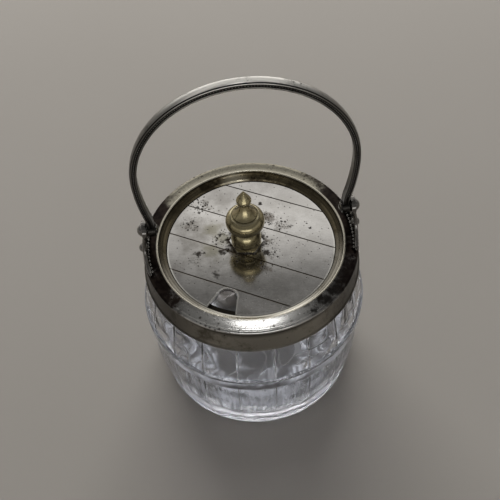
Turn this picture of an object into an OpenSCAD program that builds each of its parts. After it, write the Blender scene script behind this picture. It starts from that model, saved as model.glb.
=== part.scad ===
// Glass sugar barrel with a plated collar, a drop-in lid and a swing bail handle.
// All sizes are in millimetres. The base sits on z = 0 and the bail's axis lies along X.

/* [Jar] */
// Height of the glass shoulder that carries the collar
shoulder_z = 76.4; // [72:0.2:82]
// Barrel radius over the stave corners at the belly
belly_r = 54.9; // [49:0.1:62]
// How much narrower the barrel is at the table than at the belly
bow = 3.7; // [3.2:0.1:4.3]
// Height of the belly
belly_z = 37; // [34:0.5:40]
// Number of staves round the barrel
staves = 20; // [16:2:24]
// Turn of the staves about the jar's axis
stave_shift = 3.5; // [0:0.5:18]
// Width of the groove between two staves
stave_gap = 0.9; // [0.6:0.1:1.4]
// Depth of the groove between two staves
stave_cut = 0.5; // [0.3:0.1:0.8]
// Height of the middle of the glass hoop
hoop_z = 49.5; // [44:0.5:54]
// Height of the hoop band
hoop_h = 7; // [5:0.5:9]
// How far the hoop stands out from the stave corners
hoop_out = 0.8; // [0.4:0.1:1.4]
// Thickness of the glass wall at the belly
jar_wall = 5.2; // [4:0.2:6.4]
// Thickness of the glass floor
jar_floor = 9; // [6:0.5:12]
// Radius of the shallow hollow under the base
hollow_r = 40; // [30:1:42]
// Depth of the shallow hollow under the base
hollow_d = 0.8; // [0.4:0.1:1.5]

/* [Collar and rim] */
// Height of the collar band between glass and rim
collar_h = 10.6; // [9.4:0.2:12.6]
// Sheet thickness of the collar band
collar_t = 1.2; // [0.9:0.1:1.4]
// How far the rolled rim overhangs the band
rim_over = 1.5; // [1.1:0.1:1.9]
// Radial width of the rolled rim
rim_w = 7; // [6.4:0.1:7.6]
// Height of the rolled rim
rim_h = 3.7; // [3.4:0.1:4.2]
// Radius of the cove that runs from the rim down to the lid
cove_r = 3.4; // [3:0.1:3.8]
// Width of the ledge that carries the lid
ledge_w = 3.2; // [2.4:0.2:4]

/* [Lid] */
// Thickness of the lid plate
lid_t = 1.7; // [1.4:0.1:2]
// Gap between the lid's edge and its pocket
lid_gap = 0.35; // [0.3:0.05:0.6]
// Width of one engraved plank
plank_w = 18.7; // [17:0.1:18.8]
// How far the middle plank lies behind the lid's middle
plank_shift = 2.1; // [1.8:0.1:3]
// Turn of the planks about the lid's middle
plank_turn = -29; // [-45:1:0]
// Width of a plank line
line_w = 0.6; // [0.4:0.1:1]
// Depth of a plank line
line_d = 0.35; // [0.2:0.05:0.5]
// Width of the spoon notch at the lid's edge
notch_w = 13.4; // [11:0.2:15]
// Depth of the spoon notch from the lid's edge
notch_d = 12.6; // [10:0.2:13.4]
// Place of the spoon notch round the lid
notch_turn = -116.8; // [-130:0.2:-100]
// Radius of the notch's round end
notch_end = 4.6; // [3.6:0.1:5.4]

/* [Finial] */
// Place of the finial on the lid from left to right
fin_x = -1.8; // [-2.4:0.1:2.4]
// Place of the finial on the lid from front to back
fin_y = 1.7; // [-2.4:0.1:2.4]
// Diameter of the finial's ball
ball_d = 17.8; // [16.2:0.1:19.6]
// Radius of the ball's round side
ball_bow = 5.05; // [4.6:0.05:5.4]
// Diameter of the ball's lower edge
lip_d = 11.2; // [10.6:0.1:12]
// Diameter of the bead under the ball
bead_d = 11.4; // [10.8:0.1:12.2]
// Thickness of the bead
bead_t = 1.3; // [1:0.1:1.5]
// Diameter of the ball's upper edge
shelf_d = 11.8; // [11.6:0.1:12.8]
// Diameter of the cup under the bead
cup_d = 14.2; // [13:0.1:15.6]
// Height of the cup
cup_h = 8.3; // [7.6:0.1:9]
// Height of the cup's widest place
cup_belly = 2.6; // [2.2:0.1:3]
// Diameter of the cup's foot
cup_foot_d = 11.8; // [10.8:0.1:12.4]
// Diameter of the cup's top
cup_lip_d = 10; // [9.6:0.1:10.6]
// Diameter of the waist between cup and bead
waist_d = 9; // [8.2:0.1:9.4]
// Height of the waist
waist_h = 0.45; // [0.3:0.05:0.8]
// Diameter of the cone on the ball
cone_d = 11.4; // [10.4:0.1:11.6]
// Height of the cone
cone_h = 6.65; // [6:0.05:7.4]
// How far the cone's side is hollowed
cone_sag = 0.45; // [0.25:0.05:0.8]
// Diameter of the cone's narrow top
stem_d = 3.8; // [3.4:0.1:4.2]
// Diameter of the pointed bulb
bulb_d = 6.75; // [6.2:0.05:7.4]
// Radius of the bulb's round side
bulb_bow = 2.2; // [1.9:0.05:2.3]
// Height of the bulb below its widest place
bulb_low = 2.35; // [2.2:0.05:2.7]
// Height of the bulb above its widest place
bulb_up = 5.05; // [4.6:0.05:5.6]
// Diameter of the bulb's tip
tip_d = 1.2; // [1:0.1:1.4]
// Thickness of the six-sided washer
washer_t = 0.9; // [0.6:0.1:1.4]
// How far the washer's corners stand out from the cup
washer_over = 0.9; // [0.6:0.1:1.4]
// Turn of the washer's corners
washer_turn = -8.5; // [-30:0.5:30]
// Diameter of the finial's stud
stud_d = 3.2; // [2.6:0.1:4]

/* [Bail handle] */
// Height of the bail's axis above the rim
pivot_h = 15.5; // [13.9:0.1:17.4]
// Height of the arch's centre above the axis
arch_h = 29.2; // [26:0.2:36]
// How far each leg bends in below the arch
leg_in = 2.7; // [2:0.1:3.4]
// Thickness of the strap across the arch
strap_t = 3; // [2.4:0.1:3.4]
// Width of the strap from front to back
strap_w = 4.4; // [3.6:0.1:5]
// Width of the channel along each side of the strap
channel_w = 1.1; // [0.8:0.1:1.3]
// Depth of the channel along each side of the strap
channel_d = 0.4; // [0.2:0.1:0.6]

/* [Ears and rivets] */
// Half the length of an ear's foot along the rim
ear_half = 15.5; // [13.5:0.5:17]
// Half the width of an ear's neck
ear_neck = 3.8; // [3.2:0.1:4.6]
// Radius of an ear's round head
ear_head = 4.2; // [3.6:0.1:4.6]
// Thickness of an ear
ear_t = 2; // [1.6:0.1:2.4]
// Diameter of a rivet
rivet_d = 2.4; // [2:0.1:3]
// Radius of the dome on the outside of a rivet
knob_r = 2.8; // [2.4:0.1:3.4]
// Height of the dome on the outside of a rivet
knob_h = 2.2; // [1.6:0.1:2.4]
// Height of an ear's round boss above the rim
lobe_h = 3.3; // [2.9:0.1:3.8]
// Radius of an ear's round boss
lobe_r = 2.1; // [1.8:0.1:2.4]
// Height above the rim where an ear's flanks meet its neck
flank_h = 11.4; // [10.2:0.1:12.6]
// How far an ear leans inward from foot to head
ear_lean = 2.2; // [1.9:0.1:2.5]

/* [Fits] */
// Running clearance of the rivet in the strap, on the radius
run_fit = 0.05; // [0.02:0.01:0.08]
// Gap between the strap's eye and the pieces beside it
side_gap = 0.3; // [0.2:0.05:0.5]

/* [Hidden] */
$fn = 120;
long_fn = 720;
eps = 0.5;

// barrel: an arc through the belly and the base, shared by the glass and the collar
bow_r = (belly_z*belly_z + bow*bow)/(2*bow);
function barrel_r(z) = belly_r - bow_r + sqrt(bow_r*bow_r - (z - belly_z)*(z - belly_z));
stave_turn = 360/staves;
flat_r = belly_r*cos(stave_turn/2);
corner_bow_r = bow_r*cos(stave_turn/2);
foot_h = 3.2;
foot_round = 1.2;
foot_out = 0.2;
skin = 1;
hoop_edge = 0.6;
hoop_root = 5;
floor_round = 5;
throat_h = 5;

// collar: outside of the band lies a little outside the stave corners
band_out = 0.4;
rim_z = shoulder_z + collar_h;
rim_top = rim_z + rim_h;
rim_r = barrel_r(rim_z) + band_out + rim_over;
rim_in = rim_r - rim_w;
rim_bead = 1.4;
rim_undercut = 0.4;
rim_slope = 2.6;
crest_drop = 0.4;
crest_z = rim_top - crest_drop;
plaster_t = 0.9;
plaster_in = 1.4;
plaster_low = 2;
stem_rall = 4.4;
neck_low = 4;
neck_root = 1;
neck_r = barrel_r(rim_z) + band_out - collar_t - plaster_t;
neck_in = neck_r - stem_rall;
neck_top = rim_z - neck_low;
plaster_top = rim_z - plaster_low;
band_bead = 0.55;
band_set = 0.15;

// lid pocket
pocket_r = rim_in - cove_r;
lid_r = pocket_r - lid_gap;
ledge_r = pocket_r - ledge_w;
ledge_t = 1.3;
lid_drop = 0.25;
seat_lap = 1.2;
lid_top = crest_z - cove_r - lid_drop;
lid_z = lid_top - lid_t;

// spoon notch: a round end with straight sides that open to the lid's edge
notch_mid = lid_r - notch_d + notch_end;
notch_lip = 0.7;
lip_h = 0.35;
lip_in = 0.5;

// finial heights above the lid, stacked from the washer up to the tip
ball_r = ball_d/2;
cone_r = cone_d/2;
waist_r = waist_d/2;
stem_r = stem_d/2;
bulb_r = bulb_d/2;
tip_r = tip_d/2;
lip_r = lip_d/2;
bead_r = bead_d/2;
shelf_r = shelf_d/2;
cup_r = cup_d/2;
cup_foot_r = cup_foot_d/2;
cup_lip_r = cup_lip_d/2;
ball_in = ball_r - ball_bow;
bead_in = bead_r - bead_t/2;
bulb_in = bulb_r - bulb_bow;
bead_gap = 0.15;
graze = 0.02;
cup_top = washer_t + cup_h;
bead_z = cup_top + waist_h + bead_t/2;
ball_bottom = bead_z + bead_t/2 + bead_gap;
ball_z = ball_bottom + sqrt(ball_bow*ball_bow - pow(lip_r - ball_in, 2));
ball_cut = ball_z + sqrt(ball_bow*ball_bow - pow(shelf_r - ball_in, 2));
cone_top = ball_cut + cone_h;
bulb_z = cone_top + bulb_low;
tip_z = bulb_z + bulb_up;
stud_r = stud_d/2;
nut_t = 2.2;
nut_wall = 2;
nut_r = stud_r + nut_wall;
stud_end = 0.6;

// ears: a wall that stands on the rim and bows inward up to an upright round head
pivot_z = rim_top + pivot_h;
ear_set = 1.2;
ear_r = rim_r - ear_set;
ear_bow = (pivot_h*pivot_h + ear_lean*ear_lean)/(2*ear_lean);
head_x = ear_r - ear_lean;
ear_in_x = head_x - ear_t/2;
seat_out = 0.2;
seat_x = head_x + ear_t/2 + seat_out;
flank_z = rim_top + flank_h;
foot_tip = 1;
flank_run = ear_half - ear_neck;
flank_drop = flank_z - rim_top - foot_tip;
flank_r = (flank_run*flank_run + flank_drop*flank_drop)/(2*flank_run);
lobe_out = 0.2;
lobe_z = rim_top + lobe_h;
rivet_r = rivet_d/2;
dome_t = 1;
dome_over = 1.1;
dome_r = rivet_r + dome_over;
dome_ball = (dome_r*dome_r + dome_t*dome_t)/(2*dome_t);
knob_ball = (knob_r*knob_r + knob_h*knob_h)/(2*knob_h);

// bail: half circle, then two arcs that carry each leg inward and upright again
eye_out_x = ear_in_x - side_gap;
hair = 0.05;
eye_t = strap_t + 14*hair;
eye_x = eye_out_x - eye_t/2;
eye_wall = 2;
eye_r = rivet_r + eye_wall;
arch_r = eye_x + leg_in;
arch_z = pivot_z + arch_h;
leg_rise = 3;
leg_z = pivot_z + leg_rise;
leg_turn = 2*atan(leg_in/(arch_z - leg_z));
leg_sum = (arch_z - leg_z)/sin(leg_turn);
leg_r1 = 0.78*leg_sum;
leg_r2 = leg_sum - leg_r1;
dome_face = 6;
channel_set = 0.15;
long_lap = 2;
short_lap = 1.2;
end_lap = 0.8;

// everything outside a barrel arc whose widest radius is r, between two heights
module outside_arc(r, arc_r, z0, z1) {
    difference() {
        translate([r - 3*bow, z0]) square([6*bow, z1 - z0]);
        translate([r - arc_r, belly_z]) circle(arc_r, $fn = long_fn);
    }
}

// one cutter per stave leaves a face that is flat across and bowed from top to bottom
module stave_faces() {
    half = 2*belly_r*tan(stave_turn/2);
    for (k = [0:staves - 1])
        rotate([0, 0, (k + 0.5)*stave_turn + stave_shift]) translate([0, half, 0]) rotate([90, 0, 0])
            linear_extrude(height = 2*half) outside_arc(flat_r, bow_r, foot_h/2 - eps, shoulder_z + eps);
}

// narrow grooves between the staves
module stave_grooves() {
    for (k = [0:staves - 1])
        rotate([0, 0, k*stave_turn + stave_shift]) translate([0, stave_gap/2, 0]) rotate([90, 0, 0])
            linear_extrude(height = stave_gap) outside_arc(belly_r - stave_cut, corner_bow_r, foot_h/2 - eps, shoulder_z + eps);
}

// round foot below the staves, with softened edges
module jar_foot() {
    foot_r = barrel_r(foot_h/2) + foot_out;
    rotate_extrude() {
        square([foot_r - foot_round, foot_h]);
        translate([0, foot_round]) square([foot_r, foot_h - 2*foot_round]);
        translate([foot_r - foot_round, foot_round]) circle(foot_round);
        translate([foot_r - foot_round, foot_h - foot_round]) circle(foot_round);
    }
}

// raised hoop with rounded edges
module jar_hoop() {
    hoop_r = barrel_r(hoop_z) + hoop_out;
    rotate_extrude() {
        translate([hoop_r - hoop_root, hoop_z - hoop_h/2]) square([hoop_root - hoop_edge, hoop_h]);
        translate([hoop_r - hoop_root, hoop_z - hoop_h/2 + hoop_edge]) square([hoop_root, hoop_h - 2*hoop_edge]);
        for (s = [-1, 1]) translate([hoop_r - hoop_edge, hoop_z + s*(hoop_h/2 - hoop_edge)]) circle(hoop_edge);
    }
}

// inside of the jar: a bowed wall, a rounded floor and a narrower neck
module jar_inside() {
    in_r = flat_r - jar_wall;
    turn_r = floor_round;
    corner_r = in_r - bow_r + sqrt(bow_r*bow_r - pow(jar_floor + turn_r - belly_z, 2));
    throat_z = shoulder_z - throat_h;
    throat_r = in_r - bow_r + sqrt(bow_r*bow_r - pow(throat_z - belly_z, 2));
    rotate_extrude() {
        intersection() {
            translate([0, jar_floor + turn_r]) square([in_r + skin, throat_z - jar_floor - turn_r]);
            translate([in_r - bow_r, belly_z]) circle(bow_r, $fn = long_fn);
        }
        translate([0, jar_floor]) square([corner_r - turn_r, turn_r]);
        intersection() {
            translate([corner_r - turn_r, jar_floor + turn_r]) circle(turn_r);
            translate([0, jar_floor]) square([corner_r + skin, turn_r]);
        }
        polygon([[0, throat_z], [throat_r, throat_z], [neck_in, shoulder_z + eps], [neck_in, neck_top + eps], [0, neck_top + eps]]);
    }
}

module glass_jar() {
    color([0.86, 0.87, 0.90, 0.5]) difference() {
        union() {
            difference() {
                difference() {
                    translate([0, 0, foot_h/2]) cylinder(r = belly_r + skin, h = shoulder_z - foot_h/2);
                    stave_faces();
                }
                stave_grooves();
            }
            jar_foot();
            jar_hoop();
            translate([0, 0, shoulder_z - neck_root]) cylinder(r = neck_r, h = neck_top - shoulder_z + neck_root);
        }
        jar_inside();
        translate([0, 0, -eps]) cylinder(r = hollow_r, h = hollow_d + eps);
    }
}

module plaster_bed() {
    color([0.88, 0.86, 0.80]) rotate_extrude() difference() {
        intersection() {
            translate([neck_in + plaster_in, shoulder_z]) square([neck_r, plaster_top - shoulder_z]);
            translate([belly_r + band_out - bow_r, belly_z]) circle(bow_r - collar_t, $fn = long_fn);
        }
        translate([0, shoulder_z - eps]) square([neck_r, neck_top - shoulder_z + eps]);
    }
}

module collar_band() {
    bead = band_bead;
    color([0.62, 0.58, 0.48]) rotate_extrude() {
        intersection() {
            translate([rim_in, shoulder_z]) square([belly_r, collar_h]);
            translate([belly_r + band_out - bow_r, belly_z]) difference() {
                circle(bow_r, $fn = long_fn);
                circle(bow_r - collar_t, $fn = long_fn);
            }
        }
        translate([barrel_r(shoulder_z + bead) + band_out - band_set, shoulder_z + bead]) circle(bead);
    }
}

module rim_ring() {
    color([0.78, 0.77, 0.74]) rotate_extrude() {
        polygon([[rim_in, rim_z], [rim_r - rim_bead - rim_undercut, rim_z], [rim_r - rim_bead, rim_top - 2*rim_bead + rim_undercut/2],
                 [rim_r - rim_bead, rim_top], [rim_in + rim_slope, rim_top], [rim_in, crest_z]]);
        translate([rim_r - rim_bead, rim_top - rim_bead]) circle(rim_bead);
    }
}

module lid_seat() {
    color([0.70, 0.64, 0.50]) rotate_extrude() difference() {
        polygon([[ledge_r, lid_z - ledge_t], [pocket_r + seat_lap, lid_z - ledge_t], [rim_in, rim_z - eps], [rim_in, crest_z],
                 [pocket_r, crest_z], [pocket_r, lid_z], [ledge_r, lid_z]]);
        translate([pocket_r, crest_z]) circle(cove_r);
    }
}

// ear seen along X: wide foot, hollow flanks, round head
module ear_outline() {
    difference() {
        translate([-ear_half, rim_top]) square([2*ear_half, flank_z - rim_top]);
        for (s = [-1, 1]) translate([s*(ear_neck + flank_r), flank_z]) circle(flank_r);
    }
    translate([-ear_neck, flank_z - eps]) square([2*ear_neck, pivot_z - flank_z + 2*eps]);
}

// ear's wall in a plane through the jar's axis
module ear_wall() {
    intersection() {
        translate([ear_r - ear_bow, rim_top]) difference() {
            circle(ear_bow + ear_t/2, $fn = long_fn);
            circle(ear_bow - ear_t/2, $fn = long_fn);
        }
        translate([head_x - 2*ear_t, rim_top]) square([ear_lean + 4*ear_t, pivot_h]);
    }
}

module ear() {
    difference() {
        union() {
            intersection() {
                rotate([0, 0, -30]) rotate_extrude(angle = 60) ear_wall();
                rotate([90, 0, 90]) linear_extrude(height = rim_r + 2*ear_t) ear_outline();
            }
            translate([ear_in_x, 0, pivot_z]) rotate([0, 90, 0]) cylinder(r = ear_head, h = seat_x - ear_in_x);
            translate([ear_r + lobe_out, 0, lobe_z]) sphere(lobe_r);
        }
        translate([ear_in_x - 3*ear_t, -ear_half, flank_z - eye_r]) cube([3*ear_t, 2*ear_half, pivot_z + 2*ear_head - flank_z]);
        translate([seat_x, 0, pivot_z]) rotate([0, 90, 0]) cylinder(r = ear_head, h = 3*ear_t);
        translate([ear_in_x - ear_t, 0, pivot_z]) rotate([0, 90, 0]) cylinder(r = rivet_r, h = 4*ear_t);
    }
}

module right_ear() { color([0.45, 0.44, 0.43]) ear(); }
module left_ear() { color([0.45, 0.44, 0.43]) mirror([1, 0, 0]) ear(); }

// rivet in half section: flat dome inside the strap, pin through eye and ear, wide dome outside
module rivet_half() {
    dome_x = eye_out_x - eye_t - side_gap;
    translate([0, dome_x - dome_t/2]) square([rivet_r, seat_x - dome_x + dome_t/2 + knob_h/2]);
    intersection() {
        translate([0, dome_x - dome_t + dome_ball]) circle(dome_ball);
        translate([0, dome_x - 2*dome_t]) square([2*dome_r, 2*dome_t]);
    }
    intersection() {
        translate([0, seat_x + knob_h - knob_ball]) circle(knob_ball);
        translate([0, seat_x]) square([2*knob_r, 2*knob_h]);
    }
}

module rivet() {
    translate([0, 0, pivot_z]) rotate([0, 90, 0]) rotate_extrude() rivet_half();
}

module right_rivet() { color([0.72, 0.71, 0.69]) rivet(); }
module left_rivet() { color([0.72, 0.71, 0.69]) mirror([1, 0, 0]) rivet(); }

// strap section: x runs outward across the arch, y along its width, grown by g all round
module strap_section(g = 0) {
    difference() {
        intersection() {
            translate([-strap_t/2 - g, -strap_w/2 - g]) square([strap_t + 2*g, strap_w + 2*g]);
            translate([strap_t/2 - dome_face, 0]) circle(dome_face + g);
        }
        for (s = [-1, 1]) translate([-channel_w/2 - channel_set + g, s*(strap_w/2 + g) - channel_d]) square([channel_w - 2*g, 2*channel_d]);
    }
}

// each run of a leg is a hair larger than the one above and laps over it
module leg() {
    lap1 = atan(long_lap/leg_r1);
    lap2 = atan(short_lap/leg_r2);
    translate([arch_r - leg_r1, 0, arch_z]) rotate([90, 0, 0]) rotate([0, 0, -leg_turn])
        rotate_extrude(angle = leg_turn + lap1) translate([leg_r1, 0]) strap_section(hair);
    translate([eye_x + leg_r2, 0, leg_z]) rotate([90, 0, 0]) rotate([0, 0, 180 - leg_turn - lap2])
        rotate_extrude(angle = leg_turn + lap2) translate([leg_r2, 0]) mirror([1, 0]) strap_section(2*hair);
    translate([eye_x, 0, pivot_z]) linear_extrude(height = leg_rise + end_lap) strap_section(3*hair);
    translate([eye_x - eye_t/2, 0, pivot_z]) rotate([0, 90, 0]) cylinder(r = eye_r, h = eye_t);
}

module bail_handle() {
    color([0.55, 0.54, 0.51]) difference() {
        union() {
            translate([0, 0, arch_z]) rotate([90, 0, 0]) rotate_extrude(angle = 180) translate([arch_r, 0]) strap_section();
            leg();
            mirror([1, 0, 0]) leg();
        }
        for (s = [-1, 1]) translate([s*eye_x - eye_t, 0, pivot_z]) rotate([0, 90, 0])
            cylinder(r = rivet_r + run_fit, h = 2*eye_t);
    }
}

// notch outline grown by g, pointing out along +X
module notch_outline(g = 0) {
    translate([notch_mid, 0]) circle(notch_end + g);
    polygon([[notch_mid, -notch_end - g], [lid_r, -notch_w/2 - g], [lid_r + cove_r, -notch_w/2 - g], [lid_r + cove_r, notch_w/2 + g],
             [lid_r, notch_w/2 + g], [notch_mid, notch_end + g]]);
}

module lid_plate() {
    color([0.80, 0.79, 0.77]) difference() {
        union() {
            translate([0, 0, lid_z]) cylinder(r = lid_r, h = lid_t);
            rotate([0, 0, notch_turn]) translate([0, 0, lid_top - lip_h]) linear_extrude(height = 2*lip_h) intersection() {
                notch_outline(notch_lip);
                circle(lid_r - lip_in);
            }
        }
        rotate([0, 0, notch_turn]) translate([0, 0, lid_z - eps]) linear_extrude(height = 2*lid_t + eps) notch_outline();
        for (k = [-1.5:1:1.5]) rotate([0, 0, plank_turn])
            translate([-lid_r - eps, k*plank_w + plank_shift - line_w/2, lid_top - line_d]) cube([2*lid_r + 2*eps, line_w, 2*line_d]);
        translate([fin_x, fin_y, lid_z - eps]) cylinder(r = stud_r, h = lid_t + 2*eps);
    }
}

module finial_washer() {
    color([0.85, 0.84, 0.82]) translate([fin_x, fin_y, lid_top]) difference() {
        rotate([0, 0, washer_turn]) cylinder(r = cup_r + washer_over, h = washer_t, $fn = 6);
        translate([0, 0, -eps]) cylinder(r = stud_r, h = washer_t + 2*eps);
    }
}

// cup in half section: a short round below its widest place and a long one above it
module cup_half() {
    low_arc = (cup_belly*cup_belly + pow(cup_r - cup_foot_r, 2))/(2*(cup_r - cup_foot_r));
    up_h = cup_h - cup_belly;
    up_arc = (up_h*up_h + pow(cup_r - cup_lip_r, 2))/(2*(cup_r - cup_lip_r));
    intersection() {
        translate([cup_r - low_arc, washer_t + cup_belly]) circle(low_arc);
        translate([0, washer_t]) square([2*cup_r, cup_belly]);
    }
    intersection() {
        translate([cup_r - up_arc, washer_t + cup_belly]) circle(up_arc, $fn = long_fn);
        translate([0, washer_t + cup_belly]) square([2*cup_r, up_h]);
    }
}

// pointed bulb in half section: a round side with straight flanks down to the stem and up to the tip
module bulb_half() {
    low_run = stem_r - bulb_in;
    low_way = sqrt(low_run*low_run + bulb_low*bulb_low);
    low_turn = atan2(-bulb_low, low_run) + acos(bulb_bow/low_way);
    up_way = sqrt(bulb_in*bulb_in + bulb_up*bulb_up);
    up_turn = atan2(bulb_up, -bulb_in) - acos((bulb_bow - tip_r)/up_way);
    at_low = (bulb_bow - graze)*[cos(low_turn), sin(low_turn)] + [bulb_in, bulb_z];
    at_up = (bulb_bow - graze)*[cos(up_turn), sin(up_turn)] + [bulb_in, bulb_z];
    at_tip = (tip_r - graze)*[cos(up_turn), sin(up_turn)] + [0, tip_z];
    intersection() {
        translate([bulb_in, bulb_z]) circle(bulb_bow);
        translate([0, bulb_z - bulb_bow]) square([2*bulb_r, 2*bulb_bow]);
    }
    polygon([[0, cone_top - tip_r], [stem_r, cone_top - tip_r], [stem_r, cone_top], at_low, [0, bulb_z]]);
    polygon([[0, bulb_z], at_up, at_tip, [0, tip_z]]);
    intersection() {
        translate([0, tip_z]) circle(tip_r);
        translate([0, tip_z - tip_r]) square([2*tip_r, 3*tip_r]);
    }
}

// finial in half section, heights measured from the top of the lid
module finial_half() {
    cone_way = sqrt(pow(cone_r - stem_r, 2) + cone_h*cone_h);
    cone_arc = (cone_way*cone_way/4 + cone_sag*cone_sag)/(2*cone_sag);
    cone_off = (cone_arc - cone_sag)/cone_way;
    cup_half();
    translate([0, washer_t]) square([waist_r, ball_cut - washer_t]);
    translate([bead_in, bead_z]) circle(bead_t/2);
    translate([0, bead_z - bead_t/2]) square([bead_in, bead_t + 2*bead_gap]);
    intersection() {
        translate([ball_in, ball_z]) circle(ball_bow);
        translate([0, ball_bottom]) square([ball_d, ball_cut - ball_bottom]);
    }
    difference() {
        translate([0, ball_cut - eps]) square([cone_r, cone_h + eps]);
        translate([(cone_r + stem_r)/2 + cone_off*cone_h, (ball_cut + cone_top)/2 + cone_off*(cone_r - stem_r)]) circle(cone_arc, $fn = long_fn);
    }
    bulb_half();
    translate([0, -lid_t - nut_t - stud_end]) square([stud_r, lid_t + nut_t + stud_end + washer_t + cup_belly]);
}

module finial() {
    color([0.52, 0.46, 0.30]) translate([fin_x, fin_y, lid_top]) rotate_extrude() finial_half();
}

module finial_nut() {
    color([0.60, 0.54, 0.36]) translate([fin_x, fin_y, lid_z - nut_t]) difference() {
        cylinder(r = nut_r, h = nut_t, $fn = 6);
        translate([0, 0, -eps]) cylinder(r = stud_r, h = nut_t + 2*eps);
    }
}

glass_jar();
plaster_bed();
collar_band();
rim_ring();
lid_seat();
left_ear();
right_ear();
left_rivet();
right_rivet();
bail_handle();
lid_plate();
finial_washer();
finial();
finial_nut();
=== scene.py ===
# %% [markdown]
# A glass sugar barrel with a silver plated collar, lid and swing handle.
# The packed solids come in first: they fix every size and every joint, and this lesson only dresses them.
# Most pieces are turned, pressed or bent, so each one is worked out as a surface of two parameters and put in
# the place of its plain solid.

# %% Load the solids
import bpy, bmesh
import numpy as np
from mathutils import Matrix, Vector


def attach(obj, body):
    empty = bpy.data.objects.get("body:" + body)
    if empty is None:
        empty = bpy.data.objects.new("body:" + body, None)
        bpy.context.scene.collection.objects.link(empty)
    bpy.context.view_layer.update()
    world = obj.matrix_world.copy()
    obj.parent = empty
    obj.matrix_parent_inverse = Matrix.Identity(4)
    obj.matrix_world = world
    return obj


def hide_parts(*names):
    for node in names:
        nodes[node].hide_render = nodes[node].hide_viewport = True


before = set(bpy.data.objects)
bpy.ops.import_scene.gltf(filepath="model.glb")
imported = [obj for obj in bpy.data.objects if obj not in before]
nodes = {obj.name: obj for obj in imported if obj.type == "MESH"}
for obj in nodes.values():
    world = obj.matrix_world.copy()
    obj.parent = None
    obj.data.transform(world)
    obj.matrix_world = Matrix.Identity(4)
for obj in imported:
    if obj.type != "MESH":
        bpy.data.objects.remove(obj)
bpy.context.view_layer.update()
print("solids:", sorted(nodes))

# %% [markdown]
# The main sizes of the jar in millimetres. They are the same values that shaped the solids, so a new surface
# lands where its solid was.
# The barrel's side is one long arc: a belly radius, a bow and the height of the belly give its radius at any height.

# %% Sizes
MM = 0.001
BELLY_R, BOW, BELLY_Z = 54.9, 3.7, 37.0
BOW_R = (BELLY_Z**2 + BOW**2) / (2*BOW)
STAVES, STAVE_SHIFT, STAVE_CUT = 20, 3.5, 0.5
HALF_STAVE = np.pi/STAVES
FLAT_R = BELLY_R*np.cos(HALF_STAVE)
SHOULDER_Z, RIM_Z, RIM_TOP = 76.4, 87.0, 90.7


def bowed(widest, z):
    """Radius at height z of the long arc whose widest radius, at the belly, is given."""
    return widest - BOW_R + np.sqrt(BOW_R**2 - (z - BELLY_Z)**2)


BAND_OUT, COLLAR_T = 0.4, 1.2
RIM_R = bowed(BELLY_R, RIM_Z) + BAND_OUT + 1.5
RIM_IN = RIM_R - 7.0
CREST_Z = RIM_TOP - 0.4
COVE_R = 3.4
POCKET_R = RIM_IN - COVE_R
LID_TOP, LID_R = CREST_Z - COVE_R - 0.25, POCKET_R - 0.35
LID_Z = LID_TOP - 1.7
PIVOT_Z = RIM_TOP + 15.5
print(f"rim radius {RIM_R:.2f}, lid top {LID_TOP:.2f}, bail axis {PIVOT_Z:.2f}")

# %% [markdown]
# Every new piece goes through one helper. It puts whole arrays of points and faces into a mesh and lets the faces look
# outward. It also ties the piece to its body and the solid it stands for.

# %% Mesh helper
def piece(name, shells, body, stands_for=(), sharp=35):
    """Joins shells of (points in mm, faces as rows of indices) into one smooth object that rides on a body."""
    points, faces, start = [], [], 0
    for pts, rows in shells:
        points.append(pts)
        faces += [r + start for r in rows]
        start += len(pts)
    points = np.concatenate(points)*MM
    sizes = np.concatenate([np.full(len(r), r.shape[1]) for r in faces])
    loops = np.concatenate([r.ravel() for r in faces])
    mesh = bpy.data.meshes.new(name)
    mesh.vertices.add(len(points))
    mesh.vertices.foreach_set("co", points.ravel())
    mesh.loops.add(len(loops))
    mesh.loops.foreach_set("vertex_index", loops.astype(np.int32))
    mesh.polygons.add(len(sizes))
    mesh.polygons.foreach_set("loop_start", np.concatenate([[0], np.cumsum(sizes)[:-1]]).astype(np.int32))
    mesh.update(calc_edges=True)
    mesh.validate()
    work = bmesh.new()
    work.from_mesh(mesh)
    bmesh.ops.recalc_face_normals(work, faces=work.faces)
    work.to_mesh(mesh)
    work.free()
    mesh.polygons.foreach_set("use_smooth", np.ones(len(mesh.polygons), bool))
    mesh.set_sharp_from_angle(angle=np.radians(sharp))
    obj = bpy.data.objects.new(name, mesh)
    bpy.context.scene.collection.objects.link(obj)
    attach(obj, body)
    if stands_for:
        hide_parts(*stands_for)
    print(f"{name}: {len(points)} points, {len(sizes)} faces")
    return obj


print("solids to dress or keep:", len(nodes))

# %% [markdown]
# Most pieces here are lathe work: a half section of points is turned round an axis, and each gap in the grid gets a quad.
# A section that starts or ends on the axis gets one point there, so that its pole is closed.

# %% Sections and lathe
def grid_rows(n, m, close_n=False, close_m=False):
    """Quads of an n by m grid of points, closed round either way where asked."""
    i, j = np.meshgrid(np.arange(n if close_n else n - 1), np.arange(m if close_m else m - 1), indexing="ij")
    i2, j2 = (i + 1) % n, (j + 1) % m
    return np.stack([i*m + j, i2*m + j, i2*m + j2, i*m + j2], -1).reshape(-1, 4)


def arc(cx, cy, r, a0, a1, n=9):
    """Points on a circle from angle a0 to a1 in degrees: (cx + r cos a, cy + r sin a)."""
    a = np.radians(np.linspace(a0, a1, n))
    return np.stack([cx + r*np.cos(a), cy + r*np.sin(a)], 1)


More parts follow.
